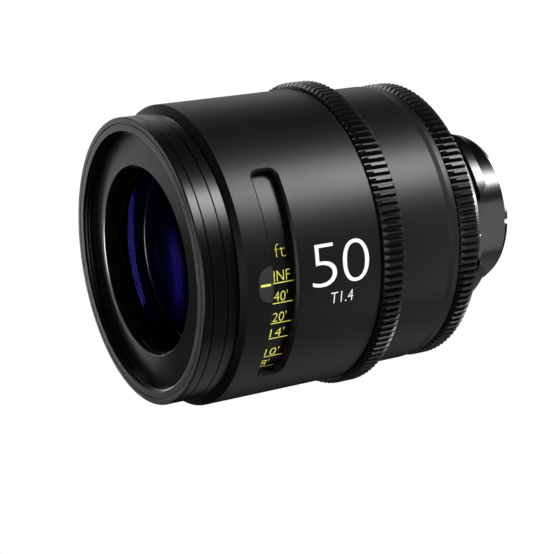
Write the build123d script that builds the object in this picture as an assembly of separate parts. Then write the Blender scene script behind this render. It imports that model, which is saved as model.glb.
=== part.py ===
# Cinema prime lens, 50 mm, in millimetres, as an assembly of separate pieces.
# The optical axis lies along Y. The front of the lens looks towards -Y and +Z is up.
# The origin is the centre of the flange face that seats against a camera.
# A station is a distance back from the front rim. A clock angle is measured in the XZ
# plane from +X, the side with the distance window, towards +Z.
from build123d import *
from math import asin, atan2, copysign, cos, degrees, hypot, pi, radians, sin, sqrt, tan
import os

os.makedirs("parts", exist_ok=True)

# Fits and small allowances
running_fit = 0.08
seat_fit = 0.1
face_gap = 0.1
edge_break = 0.3
overrun = 1.0

# Lengths of the outside pieces and the gaps between them, from the front rim back
front_ring_end = 12.3
front_barrel_length = 50.6
ring_gap = 0.3
focus_gear_width = 8.0
rear_barrel_length = 24.0
iris_gear_gap = 0.7
iris_gear_width = 7.2
mount_cone_length = 9.4
mount_seat_depth = 6.7
register_length = 12.1

front_barrel_end = front_ring_end + front_barrel_length
focus_gear_front = front_barrel_end + ring_gap
focus_gear_rear = focus_gear_front + focus_gear_width
rear_barrel_front = focus_gear_rear + ring_gap
rear_barrel_end = rear_barrel_front + rear_barrel_length
iris_gear_front = rear_barrel_end + iris_gear_gap
iris_gear_rear = iris_gear_front + iris_gear_width
mount_base_end = iris_gear_rear + mount_cone_length
flange_station = mount_base_end + mount_seat_depth
mount_rear = flange_station + register_length

# Radii of the rings and tubes, outwards from the open iris
aperture_radius = 15.0
blade_room = 0.6
blade_width = 5.4
pivot_margin = 2.5
lever_pin_margin = 7.0
lever_inner_arm = 6.5
housing_margin = 5.0
main_wall = 2.6
sleeve_wall = 1.82
drum_gap = 0.8
drum_wall = 1.8
drum_clearance = 0.3
barrel_wall = 2.75
front_ring_wall = 2.9
housing_flange = 1.7
rear_clearance = 0.2
rear_wall = 1.75
disc_gap = 1.0

blade_inner = aperture_radius + blade_room
pivot_circle = blade_inner + blade_width + pivot_margin
lever_pin_circle = pivot_circle + lever_pin_margin
lever_pivot_circle = lever_pin_circle + lever_inner_arm
main_bore = lever_pivot_circle + housing_margin
main_outer = main_bore + main_wall
turning_bore = main_outer + running_fit
sleeve_outer = turning_bore + sleeve_wall
drum_bore = main_outer + drum_gap
drum_outer = drum_bore + drum_wall
barrel_bore = drum_outer + drum_clearance
front_barrel_radius = barrel_bore + barrel_wall
front_ring_radius = main_outer + front_ring_wall
housing_outer = main_outer + housing_flange
rear_bore = housing_outer + rear_clearance
rear_barrel_radius = rear_bore + rear_wall
disc_outer = rear_bore - disc_gap

# Gear rings of the focus and the iris: as many whole teeth as fit round each ring
gear_module = 0.8
focus_gear_depth = 5.1
iris_gear_depth = 2.1
pressure_angle = 20.0
tooth_chamfer = 1.2

focus_teeth = round(2 * (sleeve_outer + focus_gear_depth) / gear_module)
iris_teeth = round(2 * (disc_outer + iris_gear_depth) / gear_module)

# Travels of the two rings
focus_turn = 270.0
focus_travel = 9.0
iris_turn = 80.0
blade_count = 16


def place(radius, station):
    """A point of a turned outline, in the XY plane."""
    return (radius, station - flange_station)


def turned(*outline):
    """A solid turned about the optical axis from (radius, station) corners."""
    corners = [place(*corner) for corner in outline]
    return revolve(make_face(Polyline(*corners, close=True)), Axis.Y)


def ring(inner, outer, front, rear):
    """A plain ring or washer between two stations."""
    return turned((inner, front), (outer, front), (outer, rear), (inner, rear))


def at_clock(angle, shape):
    """The shape turned about the optical axis by a clock angle."""
    return Rot(0, -angle, 0) * shape


def plate(outline, front, rear):
    """A flat outline drawn as seen from the front half, as a plate between two stations."""
    return Pos(0, rear - flange_station, 0) * Rot(90, 0, 0) * extrude(outline, rear - front)


def axial_pin(radius, distance, clock, front, rear):
    """A round pin parallel to the optical axis."""
    outline = Pos(distance * cos(radians(clock)), distance * sin(radians(clock))) * Circle(radius)
    return plate(outline, front, rear)


def radial_pin(radius, inner, outer, station, clock):
    """A round pin that points out from the optical axis."""
    pin = Rot(0, 90, 0) * Cylinder(radius, outer - inner)
    return at_clock(clock, Pos((inner + outer) / 2, station - flange_station, 0) * pin)


def countersunk(radius, head, distance, clock, front, rear):
    """A screw along the axis whose flat conical head ends at the rear station."""
    shank = turned((0, front), (radius, front), (radius, rear - head + radius), (head, rear), (0, rear))
    x = distance * cos(radians(clock))
    z = distance * sin(radians(clock))
    return Pos(x, 0, z) * shank


def save(name, *solids):
    """Write one named piece, or a group of like pieces."""
    shape = solids[0] if len(solids) == 1 else Compound(children=list(solids))
    export_step(shape, f"parts/{name}.step")


# Gear rings

def gear(teeth, front, width):
    """A spur gear blank with bevelled tooth ends and no bore."""
    pitch = gear_module * teeth / 2
    tip = pitch + gear_module
    root = pitch - gear_module * 5 / 4
    half_pitch = gear_module * pi / 4
    half_tip = (half_pitch - gear_module * tan(radians(pressure_angle))) / tip
    half_root = (half_pitch + gear_module * 5 / 4 * tan(radians(pressure_angle))) / root
    corners = []
    for tooth in range(teeth):
        middle = 2 * pi * tooth / teeth
        for radius, angle in (
            (root, middle - half_root),
            (tip, middle - half_tip),
            (tip, middle + half_tip),
            (root, middle + half_root),
        ):
            corners.append((radius * cos(angle), radius * sin(angle)))
    rear = front + width
    blank = plate(make_face(Polyline(*corners, close=True)), front, rear)
    envelope = turned(
        (0, front),
        (tip - tooth_chamfer, front),
        (tip + overrun, front + tooth_chamfer + overrun),
        (tip + overrun, rear - tooth_chamfer - overrun),
        (tip - tooth_chamfer, rear),
        (0, rear),
    )
    return blank & envelope


def gear_root(teeth):
    """The radius at the foot of the teeth."""
    return gear_module * (teeth / 2 - 5 / 4)


# Glass

def sag(curve, radius):
    """How far a spherical surface falls back at a radius from the axis."""
    return curve - copysign(sqrt(curve * curve - radius * radius), curve)


def glass(vertex, thickness, front_curve, rear_curve, edge, front_clear=None, rear_clear=None):
    """A lens element. A clear radius below the edge leaves a flat rim on that face."""
    front_clear = front_clear or edge
    rear_clear = rear_clear or edge
    back = vertex + thickness
    front_rim = vertex + sag(front_curve, front_clear)
    rear_rim = back + sag(rear_curve, rear_clear)
    front_middle = (front_clear / 2, vertex + sag(front_curve, front_clear / 2))
    rear_middle = (rear_clear / 2, back + sag(rear_curve, rear_clear / 2))
    sides = [
        ThreePointArc(place(0, vertex), place(*front_middle), place(front_clear, front_rim)),
        Line(place(edge, front_rim), place(edge, rear_rim)),
        ThreePointArc(place(rear_clear, rear_rim), place(*rear_middle), place(0, back)),
        Line(place(0, back), place(0, vertex)),
    ]
    if front_clear < edge:
        sides.append(Line(place(front_clear, front_rim), place(edge, front_rim)))
    if rear_clear < edge:
        sides.append(Line(place(edge, rear_rim), place(rear_clear, rear_rim)))
    return revolve(make_face(Wire(sides)), Axis.Y)


# Front ring: carries the filter thread and closes the front of the barrels
thread_step = 0.5
thread_lead_in = 0.3
thread_end = 2.6
tenon_length = 6.7
shadow_groove_depth = 0.6
shadow_groove_width = 0.5
grip_groove_stations = (3.1, 8.1)
grip_groove_width = 0.35
grip_groove_depth = 0.5
face_groove_wall = 2.0

front_bore = main_bore
filter_thread_radius = front_bore + thread_step
tenon_radius = main_outer
tenon_end = front_ring_end + tenon_length
face_groove_radius = front_ring_radius - face_groove_wall
front_ring = turned(
    (filter_thread_radius + thread_lead_in, 0),
    (front_ring_radius - edge_break, 0),
    (front_ring_radius, edge_break),
    (front_ring_radius, front_ring_end - shadow_groove_width),
    (front_ring_radius - shadow_groove_depth, front_ring_end - shadow_groove_width),
    (front_ring_radius - shadow_groove_depth, front_ring_end),
    (tenon_radius, front_ring_end),
    (tenon_radius, tenon_end),
    (front_bore, tenon_end),
    (front_bore, thread_end),
    (filter_thread_radius, thread_end),
    (filter_thread_radius, thread_lead_in),
)
for station in grip_groove_stations:
    front_ring -= ring(
        front_ring_radius - grip_groove_depth,
        front_ring_radius + overrun,
        station - grip_groove_width / 2,
        station + grip_groove_width / 2,
    )
front_ring -= ring(
    face_groove_radius - grip_groove_width / 2,
    face_groove_radius + grip_groove_width / 2,
    -overrun,
    grip_groove_depth,
)
save("front_ring", front_ring)

# Front baffle plate: a shallow turned cone with fine grooves round the first element
element_1_edge = 31.5
plate_gap = 0.05
plate_dish = 0.55
plate_thickness = 1.2
plate_groove_count = 9
plate_groove_width = 0.3
plate_groove_depth = 0.15

plate_hole_radius = element_1_edge
plate_hole_front = thread_end + plate_gap
plate_rim_front = plate_hole_front + plate_dish
cell_front = plate_rim_front + plate_thickness
plate_rim_radius = front_bore - seat_fit
plate_slope = (plate_rim_front - plate_hole_front) / (plate_rim_radius - plate_hole_radius)
baffle_plate = turned(
    (plate_hole_radius + edge_break, plate_hole_front),
    (plate_rim_radius, plate_rim_front),
    (plate_rim_radius, cell_front),
    (plate_hole_radius, cell_front),
    (plate_hole_radius, plate_hole_front + edge_break),
)
groove_step = (plate_rim_radius - plate_hole_radius) / (plate_groove_count + 1)
for count in range(plate_groove_count):
    radius = plate_hole_radius + groove_step * (count + 1)
    surface = plate_hole_front + plate_slope * (radius - plate_hole_radius)
    baffle_plate -= ring(
        radius - plate_groove_width / 2,
        radius + plate_groove_width / 2,
        plate_hole_front - overrun,
        surface + plate_groove_depth,
    )
save("front_baffle_plate", baffle_plate)

# Front group: three elements in a fixed cell
element_2_edge = 29.5
element_3_edge = 26.0
element_1_rise = 1.0
element_1_thickness = 3.2
element_1_front_curve = 118.0
element_1_rear_curve = 52.0
element_1_rear_rim_width = 2.5
element_2_air = 4.9
element_2_thickness = 10.0
element_2_front_curve = 75.0
element_2_rear_curve = -190.0
element_3_air = 0.8
element_3_thickness = 6.5
element_3_front_curve = 48.0
element_3_rear_curve = 110.0
cell_reach = 21.7
cell_lip = 1.5
retainer_wall = 2.1
retainer_lap = 0.6
inner_retainer_lap = 1.5

cell_end = front_ring_end + cell_reach
element_1_vertex = cell_front - element_1_rise
element_2_vertex = element_1_vertex + element_1_thickness + element_2_air
element_3_vertex = element_2_vertex + element_2_thickness + element_3_air
element_1_rear_clear = element_1_edge - element_1_rear_rim_width
retainer_thread_radius = element_1_edge + retainer_wall
retainer_bore = element_1_edge - retainer_lap
inner_retainer_bore = element_2_edge - inner_retainer_lap
element_1_rear_rim = element_1_vertex + element_1_thickness + sag(element_1_rear_curve, element_1_rear_clear)
element_1_front_rim = element_1_vertex + sag(element_1_front_curve, element_1_edge)
element_1_grip = element_1_vertex + sag(element_1_front_curve, retainer_bore)
element_2_rear = element_2_vertex + element_2_thickness
element_2_grip = element_2_vertex + sag(element_2_front_curve, inner_retainer_bore)
element_3_front_rim = element_3_vertex + sag(element_3_front_curve, element_3_edge)
element_3_rear_rim = element_3_vertex + element_3_thickness + sag(element_3_rear_curve, element_3_edge)

save("lens_element_1", glass(
    element_1_vertex, element_1_thickness, element_1_front_curve, element_1_rear_curve,
    element_1_edge, rear_clear=element_1_rear_clear,
))
save("lens_element_2", glass(
    element_2_vertex, element_2_thickness, element_2_front_curve, element_2_rear_curve, element_2_edge,
))
save("lens_element_3", glass(
    element_3_vertex, element_3_thickness, element_3_front_curve, element_3_rear_curve, element_3_edge,
))

cell_outer = front_bore - seat_fit
save("front_cell", turned(
    (retainer_thread_radius, cell_front),
    (cell_outer, cell_front),
    (cell_outer, cell_end),
    (element_3_edge - cell_lip, cell_end),
    (element_3_edge - cell_lip, element_3_rear_rim + face_gap),
    (element_3_edge + seat_fit, element_3_rear_rim + face_gap),
    (element_3_edge + seat_fit, element_3_front_rim),
    (element_2_edge + seat_fit, element_3_front_rim),
    (element_2_edge + seat_fit, element_1_rear_rim + face_gap),
    (element_1_edge + seat_fit, element_1_rear_rim + face_gap),
    (element_1_edge + seat_fit, element_1_front_rim),
    (retainer_thread_radius, element_1_front_rim),
))
save("front_retaining_ring", turned(
    (retainer_bore, cell_front + edge_break),
    (retainer_bore + edge_break, cell_front),
    (retainer_thread_radius - seat_fit, cell_front),
    (retainer_thread_radius - seat_fit, element_1_front_rim - face_gap),
    (element_1_edge, element_1_front_rim - face_gap),
    (retainer_bore, element_1_grip - face_gap),
))
save("element_2_retaining_ring", turned(
    (inner_retainer_bore, element_1_rear_rim + 2 * face_gap),
    (element_2_edge, element_1_rear_rim + 2 * face_gap),
    (element_2_edge, element_2_vertex + sag(element_2_front_curve, element_2_edge) - face_gap),
    (inner_retainer_bore, element_2_grip - face_gap),
))
save("element_3_spacer", turned(
    (element_3_edge + seat_fit, element_2_rear + sag(element_2_rear_curve, element_3_edge) + face_gap),
    (element_2_edge, element_2_rear + sag(element_2_rear_curve, element_2_edge) + face_gap),
    (element_2_edge, element_3_front_rim - face_gap),
    (element_3_edge + seat_fit, element_3_front_rim - face_gap),
))

# Main barrel: the fixed inner tube, with a straight slot for each cam follower
main_barrel_lap = 6.5
stop_lip_height = 2.0
stop_lip_width = 0.8
sleeve_seat_depth = 1.2
follower_count = 3
follower_margin = 10.0
follower_clock = 90.0
follower_pin_radius = 0.6
roller_radius = 1.2
roller_clearance = 0.1
housing_floor = 2.0
housing_screw_count = 6
housing_screw_radius = 0.9
housing_screw_head = 1.6
housing_screw_reach = 4.0

main_end = rear_barrel_front + main_barrel_lap
stop_lip_radius = main_bore - stop_lip_height
sleeve_end = focus_gear_rear - sleeve_seat_depth
follower_station = sleeve_end - follower_margin
housing_floor_end = main_end + housing_floor
housing_screw_circle = (main_bore + main_outer) / 2
housing_screw_front = main_end - housing_screw_reach
slot_half = roller_radius + roller_clearance
main_barrel = turned(
    (stop_lip_radius, cell_end),
    (main_bore, cell_end),
    (main_bore, tenon_end),
    (main_outer, tenon_end),
    (main_outer, main_end),
    (main_bore, main_end),
    (main_bore, cell_end + stop_lip_width),
    (stop_lip_radius, cell_end + stop_lip_width),
)
for follower in range(follower_count):
    clock = follower_clock + 360 / follower_count * follower
    near = follower_station - focus_travel
    slot = Pos((main_bore + main_outer) / 2, (near + follower_station) / 2 - flange_station, 0) * Box(
        main_outer - main_bore + 2 * overrun, focus_travel, 2 * slot_half
    )
    main_barrel -= at_clock(clock, slot)
    for station in (near, follower_station):
        main_barrel -= radial_pin(slot_half, main_bore - overrun, main_outer + overrun, station, clock)
housing_screw_clocks = [360 / housing_screw_count * (count + 1 / 2) for count in range(housing_screw_count)]
for clock in housing_screw_clocks:
    main_barrel -= axial_pin(
        housing_screw_radius, housing_screw_circle, clock, housing_screw_front, main_end + overrun
    )
save("main_barrel", main_barrel)

# Front barrel: the outer cover with the distance window and the pocket of the index tab
nose_length = 1.2
barrel_flange_lap = 1.0
window_set_back = 10.4
window_length = 8.6
window_half_angle = 41.5
window_corner = 2.5
window_edge_break = 0.7
tab_length = 5.1
tab_height = 11.5
tab_corner = 4.2
tab_depth = 1.4
tab_clearance = 0.05

nose_radius = front_ring_radius + seat_fit
barrel_flange_end = tenon_end + barrel_flange_lap
window_front = front_ring_end + window_set_back
window_rear = window_front + window_length
tab_front = window_front - tab_length
front_barrel = turned(
    (tenon_radius + seat_fit, front_ring_end),
    (nose_radius, front_ring_end),
    (front_barrel_radius, front_ring_end + nose_length),
    (front_barrel_radius, front_barrel_end - edge_break),
    (front_barrel_radius - edge_break, front_barrel_end),
    (barrel_bore, front_barrel_end),
    (barrel_bore, barrel_flange_end),
    (tenon_radius + seat_fit, barrel_flange_end),
)


def window_tool(inner, outer, grow):
    """A block round part of the barrel, with rounded corners, larger by grow on every side."""
    corners = [
        place(inner, window_front - grow),
        place(outer, window_front - grow),
        place(outer, window_rear + grow),
        place(inner, window_rear + grow),
    ]
    half = window_half_angle + degrees(grow / front_barrel_radius)
    block = revolve(make_face(Polyline(*corners, close=True)), Axis.Y, revolution_arc=2 * half)
    block = block.rotate(Axis.Y, -half)
    radial = [
        edge for edge in block.edges().filter_by(GeomType.LINE)
        if abs(edge.length - (outer - inner)) < tab_clearance and abs((edge % 0.5).Y) < tab_clearance
    ]
    return fillet(radial, window_corner + grow)


def tab_outline(grow):
    """The index tab seen from the side: square towards the window, round to the front."""
    length = window_front - tab_front + 2 * grow
    height = tab_height + 2 * grow
    middle = (tab_front + window_front) / 2 - flange_station
    block = Pos(0, middle) * Rectangle(height, length)
    front_corners = block.vertices().sort_by(Axis.Y)[:2]
    return fillet(front_corners, tab_corner)


def tab_solid(grow, depth):
    """The tab, or its pocket, set in from the side of the barrel along X."""
    base = Plane(origin=(front_barrel_radius - depth, 0, 0), x_dir=(0, 0, -1), z_dir=(1, 0, 0))
    return extrude(base * tab_outline(grow), depth + overrun)


front_barrel -= window_tool(barrel_bore - overrun, front_barrel_radius + overrun, 0)
window_rim = front_barrel.edges().filter_by(
    lambda edge: window_front - tab_clearance < edge.center().Y + flange_station < window_rear + tab_clearance
    and all(abs(hypot(p.X, p.Z) - front_barrel_radius) < tab_clearance for p in (edge @ 0, edge @ 0.5, edge @ 1))
)
front_barrel = chamfer(window_rim, window_edge_break)
front_barrel -= tab_solid(tab_clearance, tab_depth)
save("front_barrel", front_barrel)

tab_limit = ring(barrel_bore, front_barrel_radius - tab_clearance, tab_front - overrun, window_front - tab_clearance)
save("index_tab", tab_solid(0, tab_depth) & tab_limit)

# Focus group that turns: gear ring, cam sleeve and scale drum, on the main barrel
grub_count = 3
grub_radius = 0.8
grub_set_back = 4.0
grub_clock = 100.0
washer_gap = 0.4
washer_width = 1.2
washer_thickness = 0.5
stop_wall = 0.8
stop_pin_radius = 0.55
stop_slot_half = 0.7
stop_depth = 1.8
stop_reach = 1.4

drum_front = barrel_flange_end + washer_thickness + face_gap
washer_inner = main_outer + washer_gap
washer_outer = washer_inner + washer_width
grub_station = focus_gear_front + grub_set_back
stop_radius = rear_bore + stop_wall
save("focus_scale_drum", turned(
    (drum_bore, drum_front),
    (drum_outer - edge_break, drum_front),
    (drum_outer, drum_front + edge_break),
    (drum_outer, cell_end),
    (drum_bore, cell_end),
))

slot_steps = 27
slot_relief = 0.05


def cam_slot(clock):
    """The tools that cut a helical slot along a roller's path, with a relieved hole at each end."""
    section = Rectangle(sleeve_outer - turning_bore + 2 * overrun, 2 * slot_half)
    sections = []
    for step in range(slot_steps + 1):
        share = step / slot_steps
        station = follower_station - focus_travel * share
        placed = Pos((turning_bore + sleeve_outer) / 2, station - flange_station, 0) * section
        sections.append(at_clock(clock - focus_turn * share, placed))
    ends = [
        radial_pin(
            slot_half + slot_relief, turning_bore - overrun, sleeve_outer + overrun, station, clock - turn
        )
        for station, turn in ((follower_station, 0), (follower_station - focus_travel, focus_turn))
    ]
    return [loft(sections, ruled=True)] + ends


cam_sleeve = ring(turning_bore, sleeve_outer, cell_end, sleeve_end)
for follower in range(follower_count):
    cam_sleeve -= cam_slot(follower_clock + 360 / follower_count * follower)


def grub_screws(radius, inner, outer):
    """The grub screws that hold the gear ring on the cam sleeve, between two teeth."""
    tooth = 360 / focus_teeth
    screws = []
    for count in range(grub_count):
        clock = grub_clock + 360 / grub_count * count
        between = (round(clock / tooth) + 1 / 2) * tooth
        screws.append(radial_pin(radius, inner, outer, grub_station, between))
    return screws


cam_sleeve -= grub_screws(grub_radius + seat_fit / 2, turning_bore - overrun, sleeve_outer + overrun)
save("focus_cam_sleeve", cam_sleeve)

focus_gear = gear(focus_teeth, focus_gear_front, focus_gear_width)
focus_gear -= turned(
    (0, focus_gear_front - overrun),
    (sleeve_outer + seat_fit / 2, focus_gear_front - overrun),
    (sleeve_outer + seat_fit / 2, sleeve_end),
    (turning_bore, sleeve_end),
    (turning_bore, focus_gear_rear + overrun),
    (0, focus_gear_rear + overrun),
)


def stop_slot(radius, half_width, rear, depth, first_clock, turn):
    """A groove in a rear face that lets a fixed pin pass while the ring turns."""
    corners = [
        place(radius - half_width, rear - depth),
        place(radius + half_width, rear - depth),
        place(radius + half_width, rear + overrun),
        place(radius - half_width, rear + overrun),
    ]
    groove = revolve(make_face(Polyline(*corners, close=True)), Axis.Y, revolution_arc=turn)
    groove = at_clock(first_clock, groove)
    ends = [axial_pin(half_width, radius, first_clock - end, rear - depth, rear + overrun) for end in (0, turn)]
    return [groove] + ends


focus_gear -= stop_slot(stop_radius, stop_slot_half, focus_gear_rear, stop_depth, 0, focus_turn)
focus_gear -= grub_screws(grub_radius + seat_fit / 2, sleeve_outer - overrun, front_barrel_radius + 2 * overrun)
save("focus_gear_ring", focus_gear)
save("focus_ring_screws", *grub_screws(grub_radius, turning_bore + face_gap, gear_root(focus_teeth) - edge_break))

# Thrust washers of the focus rings, before and behind them
save(
    "focus_thrust_washers",
    ring(washer_inner, washer_outer, barrel_flange_end, barrel_flange_end + washer_thickness),
    ring(
        washer_inner,
        washer_outer,
        focus_gear_rear + face_gap,
        focus_gear_rear + face_gap + washer_thickness,
    ),
)

# Focus carriage: slides in the main barrel and holds three elements
carriage_guide_length = 15.5
carriage_tail_length = 10.0
carriage_wall = 2.1
carriage_cell_wall = 4.0
carriage_cell_depth = 2.4
carriage_cell_rim = 0.8
web_half = 2.2
element_4_edge = 22.5
element_4_reach = 13.0
element_4_thickness = 7.5
element_4_front_curve = 55.0
element_4_rear_curve = -400.0
element_5_thickness = 2.6
element_5_rear_curve = 34.0
element_5_rear_rim_width = 3.0
element_6_edge = 20.0
element_6_air = 3.1
element_6_thickness = 6.0
element_6_front_curve = 60.0
element_6_rear_curve = -300.0
carriage_retainer_lap = 1.5
carriage_lip = 1.5
follower_root_depth = 2.0

carriage_front = follower_station - carriage_guide_length
carriage_rear = follower_station + carriage_tail_length
carriage_cell_outer = element_4_edge + carriage_cell_wall
carriage_retainer_bore = element_4_edge - carriage_retainer_lap
carriage_retainer_outer = element_4_edge + carriage_retainer_lap
element_5_rear_clear = element_4_edge - element_5_rear_rim_width
element_4_vertex = follower_station - element_4_reach
element_6_vertex = element_4_vertex + element_4_thickness + element_5_thickness + element_6_air
carriage_cell_front = element_4_vertex + carriage_cell_depth
carriage_cell_end = element_6_vertex + element_6_thickness + carriage_cell_rim
element_5_vertex = element_4_vertex + element_4_thickness
element_5_rim = element_5_vertex + element_5_thickness + sag(element_5_rear_curve, element_5_rear_clear)
element_6_rim = element_6_vertex + element_6_thickness + sag(element_6_rear_curve, element_6_edge)
element_4_rim = element_4_vertex + sag(element_4_front_curve, element_4_edge)
element_4_grip = element_4_vertex + sag(element_4_front_curve, carriage_retainer_bore)

save("lens_element_4", glass(
    element_4_vertex, element_4_thickness, element_4_front_curve, element_4_rear_curve, element_4_edge,
))
save("lens_element_5", glass(
    element_5_vertex, element_5_thickness, element_4_rear_curve, element_5_rear_curve,
    element_4_edge, rear_clear=element_5_rear_clear,
))
save("lens_element_6", glass(
    element_6_vertex, element_6_thickness, element_6_front_curve, element_6_rear_curve, element_6_edge,
))

carriage_outer = main_bore - running_fit
carriage = turned(
    (carriage_outer - carriage_wall, carriage_front),
    (carriage_outer, carriage_front),
    (carriage_outer, carriage_rear),
    (carriage_outer - carriage_wall, carriage_rear),
    (carriage_outer - carriage_wall, follower_station + web_half),
    (carriage_cell_outer, follower_station + web_half),
    (carriage_cell_outer, carriage_cell_end),
    (element_6_edge - carriage_lip, carriage_cell_end),
    (element_6_edge - carriage_lip, element_6_rim + face_gap),
    (element_6_edge + seat_fit, element_6_rim + face_gap),
    (element_6_edge + seat_fit, element_5_rim + face_gap),
    (element_4_edge + seat_fit, element_5_rim + face_gap),
    (element_4_edge + seat_fit, element_4_rim),
    (carriage_retainer_outer + seat_fit, element_4_rim),
    (carriage_retainer_outer + seat_fit, carriage_cell_front),
    (carriage_cell_outer, carriage_cell_front),
    (carriage_cell_outer, follower_station - web_half),
    (carriage_outer - carriage_wall, follower_station - web_half),
)
follower_root = main_bore - carriage_wall - follower_root_depth
follower_clocks = [follower_clock + 360 / follower_count * follower for follower in range(follower_count)]
for clock in follower_clocks:
    carriage -= radial_pin(
        follower_pin_radius + seat_fit / 2, follower_root - face_gap, main_bore + overrun, follower_station, clock
    )
save("focus_carriage", carriage)
save("carriage_retaining_ring", turned(
    (carriage_retainer_bore, carriage_cell_front + face_gap),
    (carriage_retainer_outer, carriage_cell_front + face_gap),
    (carriage_retainer_outer, element_4_rim - face_gap),
    (element_4_edge, element_4_rim - face_gap),
    (carriage_retainer_bore, element_4_grip - face_gap),
))


def follower_roller(clock, inner, outer):
    """A roller round a follower screw."""
    solid = radial_pin(roller_radius, inner, outer, follower_station, clock)
    bore = radial_pin(follower_pin_radius + seat_fit / 2, inner - overrun, outer + overrun, follower_station, clock)
    return solid - bore


save("cam_follower_rollers", *[
    follower_roller(clock, inner + face_gap, outer - face_gap)
    for clock in follower_clocks
    for inner, outer in ((main_bore, main_outer), (turning_bore, sleeve_outer))
])
save("cam_follower_screws", *[
    radial_pin(follower_pin_radius, follower_root, sleeve_outer - face_gap, follower_station, clock)
    for clock in follower_clocks
])

# Rear barrel: the fixed cover between the two gear rings
rear_bevel_set_back = 4.8
rear_bevel_length = 2.4
rear_bevel_depth = 0.55
rear_lip_break = 0.4

rear_bevel_front = rear_barrel_end - rear_bevel_set_back
rear_bevel_end = rear_bevel_front + rear_bevel_length
washer_pocket_end = focus_gear_rear + face_gap + washer_thickness
rear_barrel = turned(
    (main_outer + seat_fit, washer_pocket_end),
    (washer_outer + seat_fit, washer_pocket_end),
    (washer_outer + seat_fit, rear_barrel_front),
    (rear_barrel_radius - edge_break, rear_barrel_front),
    (rear_barrel_radius, rear_barrel_front + edge_break),
    (rear_barrel_radius, rear_bevel_front),
    (rear_barrel_radius - rear_bevel_depth, rear_bevel_end),
    (rear_barrel_radius - rear_bevel_depth, rear_barrel_end - rear_lip_break),
    (rear_barrel_radius - rear_bevel_depth - rear_lip_break, rear_barrel_end),
    (rear_bore, rear_barrel_end),
    (rear_bore, main_end),
    (main_outer + seat_fit, main_end),
)
rear_barrel -= axial_pin(
    stop_pin_radius, stop_radius, 0, rear_barrel_front - overrun, rear_barrel_front + stop_depth
)
save("rear_barrel", rear_barrel)

# Iris: a housing, sixteen blades at their own levels, and the ring that drives them
blade_span = 88.0
blade_lead = 7.0
blade_thickness = 0.06
blade_level_step = 0.1
blade_clearance = 0.3
smallest_aperture = 1.4
pivot_lug = 1.4
pivot_pin = 0.5
tail_arm = 3.0
tail_lug = 1.0
tail_pin = 0.4
pin_clearance = 0.07
housing_ledge = 1.6
housing_rim_wall = 2.3
ledge_clearance = 0.35
actuator_clearance = 0.05
actuator_thickness = 1.0
actuator_inner_gap = 1.1
actuator_outer_wall = 2.5
lever_clearance = 0.7
lever_thickness = 1.2
lever_clock = 0.0
lever_pivot_radius = 1.0
lever_boss_wall = 1.0
lever_lug = 2.4
lever_outer_radial = 4.2
lever_outer_side = 9.0
lever_pin_radius = 0.8
lever_pin_lug = 1.9
cam_disc_clearance = 1.0
cam_disc_thickness = 1.4
scroll_points = 9
scroll_start_share = -0.02
scroll_end_share = 1.02

blade_first_level = housing_floor_end + blade_clearance
ledge_end = blade_first_level + blade_level_step * blade_count + ledge_clearance
actuator_front = ledge_end + actuator_clearance
actuator_rear = actuator_front + actuator_thickness
actuator_inner = pivot_circle + actuator_inner_gap
actuator_outer = lever_pin_circle + actuator_outer_wall
housing_rim_inner = actuator_outer - housing_ledge
housing_rim_outer = actuator_outer + housing_rim_wall
lever_front = actuator_rear + lever_clearance
lever_rear = lever_front + lever_thickness
cam_disc_front = lever_rear + cam_disc_clearance
cam_disc_rear = cam_disc_front + cam_disc_thickness
blade_turn = 2 * degrees(asin((blade_inner - smallest_aperture) / (2 * pivot_circle)))


def polar(radius, clock):
    """A point of a flat outline at a distance and a clock angle from the optical axis."""
    return (radius * cos(radians(clock)), radius * sin(radians(clock)))


def disc_at(point, radius):
    """A flat disc centred on a point of a flat outline."""
    return Pos(*point) * Circle(radius)


def tail_clock(turn):
    """The clock angle of a blade's drive pin after the blade has turned by an angle."""
    lean = radians(turn - blade_turn / 2)
    return degrees(atan2(tail_arm * sin(lean), pivot_circle + tail_arm * cos(lean)))


actuator_turn = tail_clock(blade_turn) - tail_clock(0)
tail_start = tail_clock(0)
tail_circle = hypot(
    pivot_circle + tail_arm * cos(radians(blade_turn / 2)), tail_arm * sin(radians(blade_turn / 2))
)


def blade_outline():
    """A curved leaf that spans part of the circle, with a pivot end and a short drive tail."""
    outer = blade_inner + blade_width
    middle = blade_inner + blade_width / 2
    sides = [
        ThreePointArc(polar(blade_inner, 0), polar(blade_inner, blade_span / 2), polar(blade_inner, blade_span)),
        ThreePointArc(
            polar(blade_inner, blade_span),
            polar(middle, blade_span + degrees(blade_width / 2 / middle)),
            polar(outer, blade_span),
        ),
        ThreePointArc(polar(outer, blade_span), polar(outer, blade_span / 2), polar(outer, blade_lead)),
        Line(polar(outer, blade_lead), polar(outer, 0)),
        Line(polar(outer, 0), polar(blade_inner, 0)),
    ]
    leaf = make_face(Wire(sides))
    pivot_end = (pivot_circle, 0)
    leaf_end = polar(middle, blade_lead)
    tail_end = polar(tail_circle, tail_start)
    neck = make_hull(disc_at(pivot_end, pivot_lug).edges() + disc_at(leaf_end, pivot_lug).edges())
    arm = make_hull(disc_at(pivot_end, tail_lug).edges() + disc_at(tail_end, tail_lug).edges())
    return leaf + neck + arm


for blade in range(blade_count):
    clock = 360 / blade_count * blade
    level = blade_first_level + blade_level_step * blade
    leaf = plate(blade_outline(), level, level + blade_thickness)
    leaf += axial_pin(pivot_pin, pivot_circle, 0, main_end + face_gap, level)
    leaf += axial_pin(tail_pin, tail_circle, tail_start, level + blade_thickness, actuator_rear)
    save(f"iris_blade_{blade + 1:02d}", at_clock(clock, leaf))

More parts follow.
